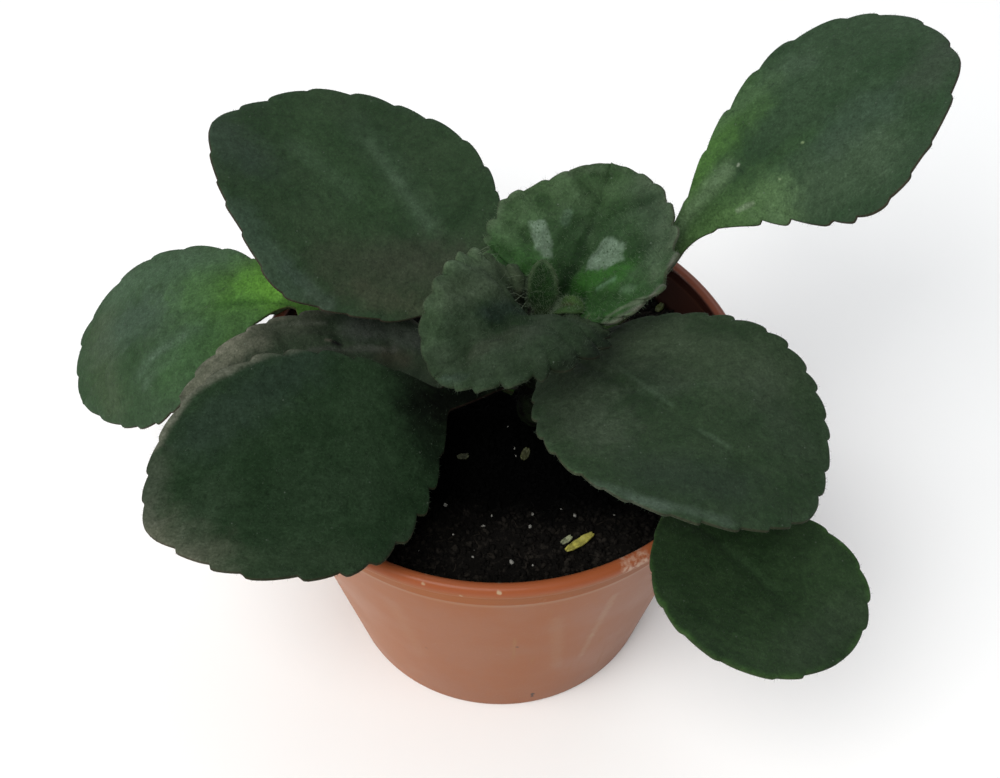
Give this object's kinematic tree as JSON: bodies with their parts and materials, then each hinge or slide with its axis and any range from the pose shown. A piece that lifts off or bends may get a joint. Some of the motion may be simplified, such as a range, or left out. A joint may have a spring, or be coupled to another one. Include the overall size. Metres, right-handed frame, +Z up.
{
  "type": "potted primulina plant",
  "caption": "Young primulina with velvety, scallop-edged oval leaves on a short stem, growing in dark potting mix in a tapered round plastic pot.",
  "frame": {"origin": "middle of the flat underside of the pot, which stands on the plane z = 0", "axes": "+Z up along the pot's axis; -Y towards the side the picture was taken from; +X to its right"},
  "size_m": [0.1566, 0.1155, 0.1188],
  "materials": {
    "pot_plastic": "satin terracotta-coloured plastic",
    "potting_mix": "rough and crumbly, near black, with white grains",
    "stem": "matt green and brown, finely hairy",
    "leaf_dark": "velvety dark green with short hairs",
    "leaf_bright": "velvety green, yellower towards its base",
    "leaf_aged": "velvety greyish brown-green",
    "leaf_young": "velvety green with a pale bloom and longer hairs",
    "leaf_bud": "densely hairy light green",
    "dry_leaf": "dry and yellow, satin"
  },
  "bodies": {
    "root": {"pot": "pot_plastic", "potting_mix": "potting_mix", "stem": "stem", "leaf_back_left": "leaf_dark", "leaf_front_left": "leaf_dark", "leaf_front_right": "leaf_dark", "leaf_low_right": "leaf_dark", "leaf_left": "leaf_bright", "leaf_back_right": "leaf_bright", "leaf_low_left": "leaf_aged", "leaf_crown_back": "leaf_young", "leaf_crown_front": "leaf_young", "leaf_bud_upright": "leaf_bud", "leaf_bud_curled": "leaf_bud", "leaf_chip": "dry_leaf"}
  },
  "joints": []
}
